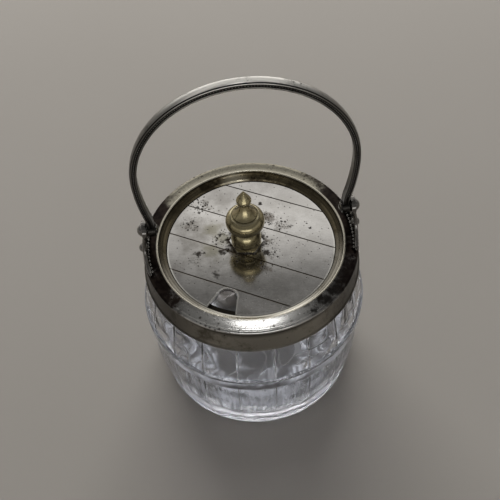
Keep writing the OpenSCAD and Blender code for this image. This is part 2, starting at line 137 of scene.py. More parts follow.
def turned(section, n=180, closed=True):
    """Shell made by turning a half section of (radius, height) rows about Z: (r cos t, r sin t, h)."""
    t = np.arange(n)*2*np.pi/n
    first, last = section[0, 0] < 1e-6, section[-1, 0] < 1e-6
    ring = section[int(first):len(section) - int(last)]
    pts = np.stack([ring[:, :1]*np.cos(t), ring[:, :1]*np.sin(t), np.repeat(ring[:, 1:], n, 1)], -1)
    rows = [grid_rows(len(ring), n, closed and not (first or last), True)]
    pts = pts.reshape(-1, 3)
    k = np.arange(n)
    for on_axis, row, at in ((first, 0, section[0]), (last, len(ring) - 1, section[-1])):
        if on_axis:
            rows.append(np.stack([row*n + k, row*n + (k + 1) % n, np.full(n, len(pts))], 1))
            pts = np.vstack([pts, [[0, 0, at[1]]]])
    return pts, rows


def along_x(shell):
    """The same shell with its turning axis laid along X."""
    pts, rows = shell
    return np.stack([pts[:, 2], pts[:, 1], -pts[:, 0]], 1), rows


def ease(a, b, x):
    """Smooth step from 0 at a to 1 at b."""
    t = np.clip((x - a)/(b - a), 0, 1)
    return t*t*(3 - 2*t)


print("a quarter arc in three points:", arc(0, 0, 1, 0, 90, 3).round(2).tolist())

# %% [markdown]
# The glass barrel was pressed in a mould. Twenty flat staves stand round it, each bowed from top to bottom,
# with a narrow groove between two of them.
# A round hoop crosses the staves and a round foot ends them. A lathe alone can't give flats, so the radius is a
# function of both angle and height.
# The inner wall, the floor and the neck belong to the same closed skin, because light has to pass through two
# true walls.

# %% Glass outline
GROOVE_NEAR, GROOVE_FAR, ABOUT_R = .15, .75, 54.0


def stave_radius(t, z):
    """Flat stave: a / cos(p), less a soft groove at its edge.

    Here a is the bowed apothem and p the angle from the stave's middle.
    """
    a = bowed(FLAT_R, z)
    p = np.mod(t - np.radians(STAVE_SHIFT), 2*HALF_STAVE) - HALF_STAVE
    from_edge = a*(np.tan(HALF_STAVE) - np.tan(np.abs(p)))
    return a/np.cos(p) - STAVE_CUT*(1 - ease(GROOVE_NEAR, GROOVE_FAR, from_edge))


def stave_angles():
    """Angles round the jar, close together at each groove and wide apart on the flats."""
    near = np.arctan(np.tan(HALF_STAVE) - np.array([0, .15, .3, .45, .6, .75, 1.0, 1.6])/ABOUT_R)
    p = np.concatenate([-near, np.radians([-6, -3, 0, 3, 6]), near[:0:-1]])
    return (np.radians(STAVE_SHIFT) + HALF_STAVE + p[None] + (np.arange(STAVES)*2*HALF_STAVE)[:, None]).ravel()


HOOP_Z, HOOP_HALF, HOOP_OUT = 49.5, 3.5, .8
FLOOR_Z, CORNER, HOLLOW_Z, HOLLOW_R = 9.0, 5.0, .8, 20.0
FOOT_TOP, FOOT_EDGE, NECK_EDGE = 1.6, 1.2, .6
CORNER_Z = FLOOR_Z + CORNER
FOOT_R = bowed(BELLY_R, FOOT_TOP) + 0.2
HOOP_R = bowed(BELLY_R, HOOP_Z) + HOOP_OUT
NECK_R = bowed(BELLY_R, RIM_Z) + BAND_OUT - COLLAR_T - 0.9
NECK_IN, NECK_TOP = NECK_R - 4.4, RIM_Z - 4.0
WALL_R = FLAT_R - 5.2
corner_r = bowed(WALL_R, CORNER_Z)
t = stave_angles()
foot = np.vstack([[(HOLLOW_R, HOLLOW_Z), (39.4, HOLLOW_Z), (39.9, .55), (40.2, 0), (46, 0)],
                  arc(FOOT_R - FOOT_EDGE, FOOT_EDGE, FOOT_EDGE, -90, 0, 6), arc(FOOT_R - FOOT_EDGE, 2.0, FOOT_EDGE, 0, 60, 4)])
hoop_low, hoop_high, hoop_in = HOOP_Z - HOOP_HALF, HOOP_Z + HOOP_HALF, HOOP_R - HOOP_OUT
low_z, high_z = np.linspace(3.4, hoop_low, 30), np.linspace(hoop_high, SHOULDER_Z - 0.5, 18)
hoop = np.vstack([arc(hoop_in, hoop_low + HOOP_OUT, HOOP_OUT, -90, 0, 6), [(HOOP_R, HOOP_Z)],
                  arc(hoop_in, hoop_high - HOOP_OUT, HOOP_OUT, 0, 90, 6)])
inner_z, edge_z = np.linspace(SHOULDER_Z - 5.0, CORNER_Z, 26), NECK_TOP - NECK_EDGE
inside = np.vstack([[(NECK_R, SHOULDER_Z), (NECK_R, edge_z)], arc(NECK_R - NECK_EDGE, edge_z, NECK_EDGE, 0, 90, 4),
                    arc(NECK_IN + NECK_EDGE, edge_z, NECK_EDGE, 90, 180, 4), [(NECK_IN, SHOULDER_Z + .5)],
                    np.stack([bowed(WALL_R, inner_z), inner_z], 1),
                    arc(corner_r - CORNER, CORNER_Z, CORNER, 0, -90, 8)[1:], [(HOLLOW_R, FLOOR_Z)]])
print(f"{STAVES} staves, {len(t)} angles round the jar, hoop radius {HOOP_R:.2f}")

# %% [markdown]
# The skin is built ring by ring: from the hollow of the base up the outside, over the neck and down the inside to the floor.
# Where staves and a round form meet, the wider of the two wins. Small waves on the inner wall stand for the plunger's mark.

# %% Glass skin
def uneven(t, z):
    """Waves the plunger left on the inner wall: a sum of a few sines of angle and height, in millimetres."""
    return .11*np.sin(10*t + .17*z) + .09*np.sin(17*t - .29*z + 1.1) + .08*np.sin(6*t + .45*z + 2.3)


def level(r, z, staved):
    """One ring of the skin: round, or the wider of round and stave."""
    return np.maximum(r, stave_radius(t, z)) if staved else np.full(len(t), r)


rings = [(level(r, z, z > FOOT_TOP), z) for r, z in foot]
rings += [(stave_radius(t, z), z) for z in low_z]
rings += [(level(r, z, True), z) for r, z in hoop]
rings += [(stave_radius(t, z), z) for z in high_z] + [(stave_radius(t, SHOULDER_Z) - .35, SHOULDER_Z)]
rings += [(np.full(len(t), r) + uneven(t, z)*ease(10, 18, z)*ease(76, 68, z), z) for r, z in inside]
radius, height = np.array([r for r, _ in rings]), np.array([z for _, z in rings])
skin = np.stack([radius*np.cos(t), radius*np.sin(t), np.repeat(height[:, None], len(t), 1)], -1).reshape(-1, 3)
n, m = radius.shape
k = np.arange(m)
next_k, last_row = (k + 1) % m, (n - 1)*m
skin_rows = [grid_rows(n, m, False, True), np.stack([k, next_k, np.full(m, n*m)], 1),
             np.stack([last_row + k, last_row + next_k, np.full(m, n*m + 1)], 1)]
skin = np.vstack([skin, [[0, 0, HOLLOW_Z], [0, 0, FLOOR_Z]]])
glass = piece("glass_barrel", [(skin, skin_rows)], "jar", ["glass_jar"], sharp=50)

# %% [markdown]
# The collar is spun from sheet and follows the same long arc as the glass, with a small rolled bead where it
# grips the shoulder.
# The rolled rim sits on it, and inside the rim a hollow cove runs down to the ledge that carries the lid.
# All three are plain lathe work, so their half sections are written down point by point and turned.

# %% Collar, rim and lid seat
band_z = np.linspace(SHOULDER_Z + 1.0, RIM_Z, 12)
band_out = np.stack([bowed(BELLY_R + BAND_OUT, band_z), band_z], 1)
bead = arc(bowed(BELLY_R + BAND_OUT, SHOULDER_Z + .55) - .15, SHOULDER_Z + .55, .55, -80, 40, 7)
band_in = np.stack([bowed(BELLY_R + BAND_OUT - COLLAR_T, band_z[::-1]), band_z[::-1]], 1)
low_in = [[bowed(BELLY_R + BAND_OUT - COLLAR_T, SHOULDER_Z), SHOULDER_Z]]
sleeve = turned(np.vstack([bead, band_out, band_in, low_in]), 240)
band = piece("collar_sleeve", [sleeve], "jar", ["collar_band"])

roll = arc(RIM_R - 1.25, RIM_TOP - 1.75, 1.25, -75, 76, 14)
crown_r = np.linspace(roll[-1, 0], RIM_IN + .45, 12)[1:]
slope = (crown_r - RIM_IN)/(RIM_R - RIM_IN)
crown = np.stack([crown_r, RIM_TOP - .05 - .85*slope**1.5], 1)
crest = arc(RIM_IN + .35, CREST_Z - .05, .35, 80, 180, 6)
rim_turned = turned(np.vstack([[(RIM_IN, RIM_Z), (RIM_R - 2.3, RIM_Z)], roll, crown, crest]), 240)
rim = piece("rolled_rim", [rim_turned], "jar", ["rim_ring"])

cove = arc(POCKET_R, CREST_Z, COVE_R, -2, -86, 14)
lip = [(POCKET_R + .05, CREST_Z - COVE_R - .02), (POCKET_R, CREST_Z - COVE_R - .2)]
LEDGE_W, LEDGE_T = 3.2, 1.3
ledge = [(POCKET_R, LID_Z), (POCKET_R - LEDGE_W, LID_Z), (POCKET_R - LEDGE_W, LID_Z - LEDGE_T),
         (POCKET_R + 1.2, LID_Z - LEDGE_T), (RIM_IN - .02, RIM_Z - .5)]
seat = piece("lid_pocket", [turned(np.vstack([cove, lip, ledge]), 240)], "jar", ["lid_seat"])

# %% [markdown]
# The finial is a turned brass knob: a cup, a waist, a bead, a flattened ball, a hollow cone and a pointed bulb.
# It sits a little to the left of the lid's middle and behind it.
# Its half section is a chain of arcs that meet at named heights, and small extra points soften the edges that
# polishing has rounded.

# %% Finial heights
FIN_X, FIN_Y = -1.8, 1.7
WASHER_T, CUP_R, CUP_FOOT, CUP_LIP, WAIST_R, BEAD_IN, BEAD_R = .9, 7.1, 5.9, 5.0, 4.5, 5.05, .65
BALL_R, BALL_BOW, LIP_R, SHELF_R, CONE_R, STEM_R, SAG = 8.9, 5.05, 5.6, 5.9, 5.7, 1.9, .45
BULB_R, BULB_BOW, TIP_R = 3.375, 2.2, .6
belly_z, cup_top = WASHER_T + 2.6, WASHER_T + 8.3
bead_z = cup_top + .45 + BEAD_R
ball_low = bead_z + BEAD_R + .15
ball_in, bulb_in = BALL_R - BALL_BOW, BULB_R - BULB_BOW
ball_z = ball_low + np.sqrt(BALL_BOW**2 - (LIP_R - ball_in)**2)
ball_cut = ball_z + np.sqrt(BALL_BOW**2 - (SHELF_R - ball_in)**2)
cone_top = ball_cut + 6.65
bulb_z = cone_top + 2.35
tip_z = bulb_z + 5.05
print(f"above the lid: bead {bead_z:.2f}, ball {ball_low:.2f} to {ball_cut:.2f}, tip {tip_z:.2f}")

# %% [markdown]
# Three small curves are enough for the knob: an arc between two heights, the arc that draws in by a given amount,
# and a shallow hollow. The half section is a chain of them and is turned like the rim.
# The stud below the lid is a second shell of the same piece.

# %% Finial
def side(r, x0, y0, y1, yc, n=10):
    """Arc of radius r about (x0, yc) taken between two heights: x = x0 + sqrt(r2 - (y - yc)2)."""
    y = np.linspace(y0, y1, n)
    return np.stack([x0 + np.sqrt(r*r - (y - yc)**2), y], 1)


def through(drop, reach):
    """Radius of the arc that is upright at its widest place and draws in by drop over the height reach."""
    return (drop*drop + reach*reach)/(2*drop)


def hollow(a, b, sag, n):
    """Points from a to b on a shallow arc that sinks in by sag: chord + 4 sag u (1 - u) along its normal."""
    u = np.linspace(0, 1, n)[:, None]
    a, b = np.array(a), np.array(b)
    inward = np.array([a[1] - b[1], b[0] - a[0]])/np.hypot(*(b - a))
    return a + (b - a)*u + inward*4*sag*u*(1 - u)


low_r, up_r = through(CUP_R - CUP_FOOT, 2.6), through(CUP_R - CUP_LIP, cup_top - belly_z)
stem_x, stem_z, tip_up = STEM_R - bulb_in, cone_top - bulb_z, tip_z - bulb_z
low_turn = np.degrees(np.arctan2(stem_z, stem_x) + np.arccos(BULB_BOW/np.hypot(stem_x, stem_z)))
up_turn = np.degrees(np.arctan2(tip_up, -bulb_in) - np.arccos((BULB_BOW - TIP_R)/np.hypot(bulb_in, tip_up)))
knob = np.vstack([[(0, WASHER_T), (CUP_FOOT - .15, WASHER_T)], side(low_r, CUP_R - low_r, WASHER_T + .1, belly_z, belly_z, 8),
                  side(up_r, CUP_R - up_r, belly_z + .4, cup_top - .1, belly_z, 14),
                  [(CUP_LIP - .15, cup_top), (WAIST_R, cup_top + .05), (WAIST_R, bead_z - BEAD_R)],
                  arc(BEAD_IN, bead_z, BEAD_R, -85, 85, 12), [(BEAD_IN, ball_low - .05)],
                  side(BALL_BOW, ball_in, ball_low, ball_cut - .06, ball_z, 32),
                  [(SHELF_R - .07, ball_cut), (CONE_R + .06, ball_cut - .03)],
                  hollow((CONE_R, ball_cut + .03), (STEM_R, cone_top), SAG, 16),
                  arc(bulb_in, bulb_z, BULB_BOW, low_turn, up_turn, 16),
                  arc(0, tip_z, TIP_R, up_turn, 88, 8), [(0, tip_z + TIP_R)]])
stud = np.array([(0, -4.5), (1.45, -4.5), (1.6, -4.3), (1.6, WASHER_T + 1), (0, WASHER_T + 1)])
knob[:, 1] += LID_TOP
stud[:, 1] += LID_TOP
shells = [turned(knob, 128, False), turned(stud, 48, False)]
in_place = [(pts + [FIN_X, FIN_Y, 0], rows) for pts, rows in shells]
finial = piece("turned_finial", in_place, "lid", ["finial"])

# %% [markdown]
# The bail is a strap bent into a half hoop whose legs draw in to the two eyes. Its path comes first: a half circle,
# then a long arc and a short back arc down each leg, so that it runs into the eyes without a kink.

# %% Bail path
ARCH_H, LEG_IN, STRAP_T, STRAP_DOME = 29.2, 2.7, 3.0, 6.0
EAR_R, EAR_T, LEAN = RIM_R - 1.2, 2.0, 2.2
HEAD_X = EAR_R - LEAN
EAR_IN = HEAD_X - EAR_T/2
EYE_OUT, EYE_T, EYE_R, RIVET_R = EAR_IN - .3, 3.7, 3.2, 1.2
EYE_X = EYE_OUT - EYE_T/2
ARCH_R, ARCH_Z, LEG_Z = EYE_X + LEG_IN, PIVOT_Z + ARCH_H, PIVOT_Z + 3.0
turn = 2*np.arctan(LEG_IN/(ARCH_Z - LEG_Z))
leg_sum = (ARCH_Z - LEG_Z)/np.sin(turn)
r1, r2 = .78*leg_sum, .22*leg_sum


def bail_path():
    """Half circle, then a long arc and a short back arc down each leg: rows of x, z and the angle of the outward side."""
    a = np.linspace(0, np.pi/2, 60)
    top = np.stack([ARCH_R*np.cos(a), ARCH_Z + ARCH_R*np.sin(a), a], 1)
    b = np.linspace(0, -turn, 16)[1:]
    long_leg = np.stack([ARCH_R - r1 + r1*np.cos(b), ARCH_Z + r1*np.sin(b), b], 1)
    c = np.linspace(np.pi - turn, np.pi, 8)[1:]
    short_leg = np.stack([EYE_X + r2 + r2*np.cos(c), LEG_Z + r2*np.sin(c), c - np.pi], 1)
    foot_leg = np.array([[EYE_X, PIVOT_Z + 1.6, 0.0]])
    right = np.vstack([foot_leg, short_leg[::-1], long_leg[::-1], top])
    left = right[-2::-1]*[-1, 1, 1]
    left[:, 2] = np.pi - left[:, 2]
    return np.vstack([right, left])


path = bail_path()
print(f"bail path: {len(path)} places, arch radius {ARCH_R:.2f}, top at {path[:, 1].max():.2f}")

# %% [markdown]
# The strap's section is carried along the path: one side follows the path's outward angle, the other lies along Y.
# The outside is gently domed, and each flank has a shallow channel between two bright edges. A pierced eye ends each leg.

# %% Strap and eyes
def strap_section():
    """Closed outline: u runs outward, v from front to back; domed outside, a channel in each flank."""
    v = np.linspace(-1.85, 1.85, 9)
    dome = np.stack([STRAP_T/2 - STRAP_DOME + np.sqrt(STRAP_DOME**2 - v*v), v], 1)
    flank = np.array([(1.02, 2.1), (.86, 2.2), (.56, 2.2), (.42, 2.1), (.36, 1.84), (.1, 1.78), (-.4, 1.78),
                      (-.66, 1.84), (-.72, 2.1), (-.86, 2.2), (-1.26, 2.2), (-1.44, 2.08)])
    belly = np.array([(-STRAP_T/2, v) for v in (1.8, .6, -.6, -1.8)])
    return np.vstack([dome, flank, belly, flank[::-1]*[1, -1]])


section = strap_section()
out = np.stack([np.cos(path[:, 2]), np.zeros(len(path)), np.sin(path[:, 2])], 1)
spine = np.stack([path[:, 0], np.zeros(len(path)), path[:, 1]], 1)
strap = spine[:, None] + section[None, :, :1]*out[:, None] + section[None, :, 1:]*np.array([0, 1.0, 0])
n, m = strap.shape[:2]
strap_rows = [grid_rows(n, m, False, True), np.arange(m)[None], (n - 1)*m + np.arange(m)[None, ::-1]]
HOLE_R, OUTER_EDGE, HOLE_EDGE = RIVET_R + .05, .4, .2
outer_x, outer_h = EYE_R - OUTER_EDGE, EYE_T/2 - OUTER_EDGE
hole_x, hole_h = HOLE_R + HOLE_EDGE, EYE_T/2 - HOLE_EDGE
eye_ring = np.vstack([arc(outer_x, outer_h, OUTER_EDGE, 0, 90, 5), arc(hole_x, hole_h, HOLE_EDGE, 90, 180, 4),
                      arc(hole_x, -hole_h, HOLE_EDGE, 180, 270, 4), arc(outer_x, -outer_h, OUTER_EDGE, 270, 360, 5)])
eye = along_x(turned(eye_ring, 48))
eyes = [(eye[0] + [s*EYE_X, 0, PIVOT_Z], eye[1]) for s in (1, -1)]
bail = piece("bail_strap", [(strap.reshape(-1, 3), strap_rows), *eyes], "bail", ["bail_handle"])

# %% [markdown]
# A row of tiny pearls runs in each channel, cast in one with the strap. They are too small to be solids of their own,
# so one coarse ball is repeated at equal steps along the path, half sunk into the channel's floor.

# %% Pearls in the channel
PEARL_STEP, PEARL_R, PEARL_SIDE, PEARL_IN, PEARL_FREE = 1.15, .4, 1.86, .15, 7.0
step = np.r_[0, np.cumsum(np.hypot(*np.diff(path[:, :2], axis=0).T))]
where = np.arange(PEARL_FREE, step[-1] - PEARL_FREE, PEARL_STEP)
px, pz, pa = (np.interp(where, step, path[:, c]) for c in range(3))
lat, lon = np.radians([-50, 0, 50]), np.arange(6)*np.pi/3
belt = np.stack([np.outer(np.cos(lat), np.cos(lon)), np.outer(np.cos(lat), np.sin(lon)),
                 np.outer(np.sin(lat), np.ones(6))], -1)
ball = np.vstack([[(0, 0, -1)], belt.reshape(-1, 3), [(0, 0, 1)]])
k6 = np.arange(6)
next6 = (k6 + 1) % 6
ball_rows = [np.stack([np.zeros(6, int), 1 + k6, 1 + next6], 1), grid_rows(3, 6, False, True) + 1,
             np.stack([13 + k6, 13 + next6, np.full(6, 19)], 1)]


def many(centres, sizes):
    """The same small ball at every centre, each with its own radius: centre + radius * ball."""
    pts = (centres[:, None] + np.asarray(sizes).reshape(-1, 1, 1)*ball[None]).reshape(-1, 3)
    offset = (np.arange(len(centres))*len(ball))[:, None, None]
    return pts, [(offset + r[None]).reshape(-1, r.shape[1]) for r in ball_rows]


in_x, in_z = px - PEARL_IN*np.cos(pa), pz - PEARL_IN*np.sin(pa)
rows_of_pearls = [many(np.stack([in_x, np.full_like(px, s*PEARL_SIDE), in_z], 1), np.full(len(px), PEARL_R)) for s in (-1, 1)]
piece("bail_pearls", rows_of_pearls, "bail", sharp=80)

# %% [markdown]
# The ears are castings soldered to the rim. Each is a wall with a long foot, hollow flanks and a round head
# that holds the rivet.
# A flattened ring is carried up the wall: its half width follows the outline and its thickness swells at the
# border, which leaves a raised edge on both faces.

# %% Ear outline
EAR_HALF, EAR_NECK, EAR_HEAD, FLANK_H = 15.5, 3.8, 4.2, 11.4
flank_z = RIM_TOP + FLANK_H
flank_run, flank_drop = EAR_HALF - EAR_NECK, FLANK_H - 1.0
flank_r = (flank_run**2 + flank_drop**2)/(2*flank_run)
HEAD_UP = PIVOT_Z - RIM_TOP
ear_bow = (HEAD_UP**2 + LEAN**2)/(2*LEAN)


def ear_half_width(z):
    """Half width at height z: a circle hollows each flank up to the neck, and the round head closes it."""
    drop = np.clip(flank_z - z, 0, flank_r)
    flank = EAR_NECK + flank_r - np.sqrt(np.maximum(flank_r**2 - drop**2, 0))
    head = np.sqrt(np.maximum(EAR_HEAD**2 - (z - PIVOT_Z)**2, 0))
    return np.where(z > PIVOT_Z, head, np.maximum(np.minimum(flank, EAR_HALF), head))


def ear_shell(side_x):
    """Ring of (y, thickness) = (w cos a, T sin a) with squared corners, carried up the leaning wall and bent round the rim."""
    head_turn = np.linspace(0, np.pi/2 - .06, 12)[1:]
    z = np.concatenate([np.linspace(RIM_TOP - .6, flank_z, 30), np.linspace(flank_z, PIVOT_Z, 10)[1:],
                        PIVOT_Z + EAR_HEAD*np.sin(head_turn)])
    a = np.linspace(0, 2*np.pi, 56, endpoint=False)
    c, s = np.cos(a), np.sin(a)
    u = np.sign(c)*np.abs(c)**.55
    w = ear_half_width(z)[:, None]
    border = ease(.62, .8, np.abs(u))*(1 - .6*ease(.9, 1.0, np.abs(u)))
    thick = .62 + .38*border
    v = np.sign(s)*np.abs(s)**.45*thick*EAR_T/2
    y = w*u
    up = np.clip(z - RIM_TOP, 0, HEAD_UP)[:, None]
    centre = EAR_R - ear_bow + np.sqrt(ear_bow**2 - up**2)
    flat = ease(8.0, 11.0, up)
    rho = centre + v
    x = (1 - flat)*np.sqrt(np.maximum(rho**2 - y**2, 1)) + flat*rho
    x = np.where(up > 7.8, np.maximum(x, EAR_IN), x)
    pts = np.stack([side_x*x, y*np.ones_like(x), np.repeat(z[:, None], len(a), 1)], -1)
    n, m = pts.shape[:2]
    k = np.arange(m)
    cap = np.array([[side_x*HEAD_X, 0, PIVOT_Z + EAR_HEAD]])
    top_row = (n - 1)*m
    rows = [grid_rows(n, m, False, True), np.stack([top_row + k, top_row + (k + 1) % m, np.full(m, n*m)], 1), k[None, ::-1]]
    return np.vstack([pts.reshape(-1, 3), cap]), rows


print(f"ear: half width {EAR_HALF} at the foot, {EAR_NECK} at the neck, axis {HEAD_UP:.2f} above the rim")

# %% [markdown]
# A drum on each ear's head carries the rivet, a small lobe stands outside and a row of beads runs along the foot.
# They are shells of the same piece, because they were cast with the ear.

# %% Ears
def blob(centre, r, n=32, m=16):
    """Sphere of radius r: a half circle turned about Z."""
    h = arc(0, 0, r, -90, 90, m)
    h[0, 0] = h[-1, 0] = 0
    pts, rows = turned(h, n, False)
    return pts + np.array(centre), rows


BOSS_OUT, LOBE_R, LOBE_UP, RIDGE_IN = 1.2, 2.1, 3.3, 1.25


def boss(side_x):
    """Head that carries the rivet: a short drum with rounded edges, laid along X."""
    half, edge = (HEAD_X + BOSS_OUT - EAR_IN)/2, .35
    ring = np.vstack([[(0, -half)], arc(EAR_HEAD - edge, -half + edge, edge, -90, 0, 5),
                      arc(EAR_HEAD - edge, half - edge, edge, 0, 90, 5), [(0, half)]])
    pts, rows = along_x(turned(ring, 64, False))
    return pts + [side_x*(EAR_IN + half), 0, PIVOT_Z], rows


ridge_t, ridge_r = np.radians(np.linspace(-15, 15, 13)), EAR_R - RIDGE_IN
for name, node_name, sx in (("ear_right", "right_ear", 1), ("ear_left", "left_ear", -1)):
    ridge = np.stack([sx*ridge_r*np.cos(ridge_t), ridge_r*np.sin(ridge_t), np.full(13, RIM_TOP + .35)], 1)
    lobe = blob((sx*(EAR_R + .2), 0, RIM_TOP + LOBE_UP), LOBE_R)
    beads = many(ridge, .75 + .3*np.cos(ridge_t*6)**2)
    piece(name, [ear_shell(sx), boss(sx), lobe, beads], "jar", [node_name], sharp=60)

# %% [markdown]
# Each rivet joins an ear to an eye of the bail. Its inner head is a low dome and its outer head a small knob.
# Both heads are parts of balls, found from their width and height, so the whole rivet is one half section,
# turned and laid along X.

# %% Rivets
DOME_W, DOME_H, KNOB_W, KNOB_H = 2.3, 1.0, 2.8, 2.2
dome_x, seat_x = EYE_OUT - EYE_T - .3, HEAD_X + BOSS_OUT
dome_ball, knob_ball = through(DOME_H, DOME_W), through(KNOB_H, KNOB_W)
dome_from = -np.degrees(np.arcsin((dome_ball - DOME_H)/dome_ball))
knob_from = np.degrees(np.arcsin((knob_ball - KNOB_H)/knob_ball))
inner = arc(0, dome_x - DOME_H + dome_ball, dome_ball, -90, dome_from, 8)
outer = arc(0, seat_x + KNOB_H - knob_ball, knob_ball, knob_from, 90, 12)
inner[0, 0] = outer[-1, 0] = 0
pin = np.vstack([inner, [(RIVET_R, dome_x + .02), (RIVET_R, seat_x - .02)], outer])
for name, node_name, sx in (("rivet_right", "right_rivet", 1), ("rivet_left", "left_rivet", -1)):
    pts, rows = along_x(turned(pin, 64, False))
    piece(name, [(pts*[sx, 1, 1] + [0, 0, PIVOT_Z], rows)], "jar", [node_name])

# %% [markdown]
# A finish is a tree of small nodes, and most of them are sums, products and smooth steps.
# A short class adds such nodes by one call each. Anything that is a socket gets linked, anything else is set as
# a value.
# Masks that follow a place on the object take their ranges in millimetres, like the shapes above.

# %% Node helpers
class Sketch:
    """Short calls that add nodes to one node tree."""

    def __init__(self, tree):
        self.tree = tree

    def fill(self, socket, value):
        """Links a socket or sets a value; a colour may leave out its alpha."""
        if isinstance(value, bpy.types.NodeSocket):
            self.tree.links.new(value, socket)
        else:
            socket.default_value = (*value, 1) if socket.type == "RGBA" and len(value) == 3 else value

    def add(self, kind, out=0, props=(), **sockets):
        """New node; its sockets are given by name, or by number as i0, i1 and so on."""
        node = self.tree.nodes.new("ShaderNode" + kind)
        for key, value in dict(props).items():
            setattr(node, key, value)
        for key, value in sockets.items():
            by_number = key[0] == "i" and key[1:].isdigit()
            self.fill(node.inputs[int(key[1:]) if by_number else key.replace("_", " ")], value)
        return node.outputs[out]

    def maths(self, op, a, b=0.0):
        return self.add("Math", props={"operation": op}, i0=a, i1=b)

    def chain(self, op, values):
        total = values[0]
        for value in values[1:]:
            total = self.maths(op, total, value)
        return total

    def times(self, *values):
        return self.chain("MULTIPLY", values)

    def plus(self, *values):
        return self.chain("ADD", values)

    def most(self, *values):
        return self.chain("MAXIMUM", values)

    def less(self, a, b):
        return self.maths("SUBTRACT", a, b)

    def size(self, a):
        return self.maths("ABSOLUTE", a)

    def band(self, value, low, high, to_low=0.0, to_high=1.0):
        """Smooth step of a value from one range to another."""
        return self.add("MapRange", props={"interpolation_type": "SMOOTHSTEP"}, Value=value,
                        From_Min=low, From_Max=high, To_Min=to_low, To_Max=to_high)

    def over(self, length, low, high, to_low=0.0, to_high=1.0):
        """The same for a length, with its range in millimetres."""
        return self.band(length, low*MM, high*MM, to_low, to_high)

    def mix(self, amount, a, b):
        return self.add("Mix", 2, {"data_type": "RGBA"}, i0=amount, i6=a, i7=b)

    def coats(self, colour, *coats):
        """Lays coats over a colour in turn; each coat is a mask, its weight and its colour."""
        for mask, weight, tone in coats:
            colour = self.mix(mask if weight == 1 else self.times(mask, weight), colour, tone)
        return colour

    def vector(self, op, a, b=(0, 0, 0), c=(0, 0, 0)):
        return self.add("VectorMath", 1 if op in ("LENGTH", "DISTANCE") else 0, {"operation": op}, i0=a, i1=b, i2=c)

    def flat(self, place):
        """The place as seen from above, with no height."""
        return self.vector("MULTIPLY", place, (1, 1, 0))

    def from_axis(self, place):
        return self.vector("LENGTH", self.flat(place))

    def split(self, place):
        return tuple(self.add("SeparateXYZ", i0=place).node.outputs)

    def noise(self, place, scale, detail=2.0, roughness=.5, distortion=0.0):
        return self.add("TexNoise", Vector=place, Scale=scale, Detail=detail, Roughness=roughness, Distortion=distortion)


print("node calls:", [name for name in vars(Sketch) if name[0] != "_"])

# %% [markdown]
# Old plate ages in the same ways all over: a soft brown bloom, black spots where the silver has gone, fine
# scratches and dents.
# One node group holds these ways and each finish sets its own amounts, so all the metal looks as if it aged in
# one place.
# The group gives out only what varies: a colour, a roughness and a height.

# %% Old plate node group
def old_plate_group():
    """Bloom, black spots, scratches and dents from Object coordinates, weighted by the group's inputs."""
    tree = bpy.data.node_groups.new("old_plate", "ShaderNodeTree")
    tones = {"Plate": (.7, .69, .66, 1), "Bloom": (.3, .24, .15, 1), "Spot": (.02, .018, .016, 1)}
    amounts = {"Bloom Amount": .5, "Spot Amount": .5, "Gloss": .25, "Size": 1.0}
    for kind, defaults in (("NodeSocketColor", tones), ("NodeSocketFloat", amounts)):
        for name, value in defaults.items():
            tree.interface.new_socket(name, in_out="INPUT", socket_type=kind).default_value = value
    g, given = Sketch(tree), tree.nodes.new("NodeGroupInput").outputs
    place = g.vector("MULTIPLY", g.add("TexCoord", "Object"), given["Size"])
    cloud, fine, patch = g.noise(place, 90, 6, .62), g.noise(place, 900, 4, .7), g.noise(place, 160, 3, .6)
    streak = g.noise(g.add("Mapping", Vector=place, Rotation=(0, 0, .6), Scale=(1, 28, 1)), 160)
    grit = g.add("TexVoronoi", Vector=place, Scale=650.0, Randomness=1.0)
    more_bloom, more_spots = g.times(given["Bloom Amount"], .5), g.times(given["Spot Amount"], .42)
    blotch = g.plus(g.times(cloud, .75), g.times(fine, .25))
    bloom = g.band(blotch, g.less(.78, more_bloom), g.less(.98, more_bloom))
    gone = g.band(patch, g.less(.78, more_spots), g.less(.9, more_spots))
    spots = g.times(g.band(grit, .1, .42, 1.0, 0.0), gone)
    results = {
        "Color": g.mix(spots, g.mix(bloom, given["Plate"], given["Bloom"]), given["Spot"]),
        "Roughness": g.plus(given["Gloss"], g.times(bloom, .16), g.times(spots, .35), g.times(fine, .12)),
        "Height": g.plus(g.times(cloud, .5), g.times(spots, -.6), g.times(fine, .12), g.times(streak, .12))}
    for name in results:
        kind = "NodeSocketColor" if name == "Color" else "NodeSocketFloat"
        tree.interface.new_socket(name, in_out="OUTPUT", socket_type=kind)
    out = tree.nodes.new("NodeGroupOutput")
    for name, value in results.items():
        tree.links.new(value, out.inputs[name])
    return tree


OLD_PLATE = old_plate_group()
print("node group old_plate:", len(OLD_PLATE.nodes), "nodes")

# %% [markdown]
# Every finish is one material with one Principled shader. Values that never vary go on the shader's own sockets.
# Colour, roughness and height come from nodes, and the height becomes a small bump, so pits and dents catch the
# light.

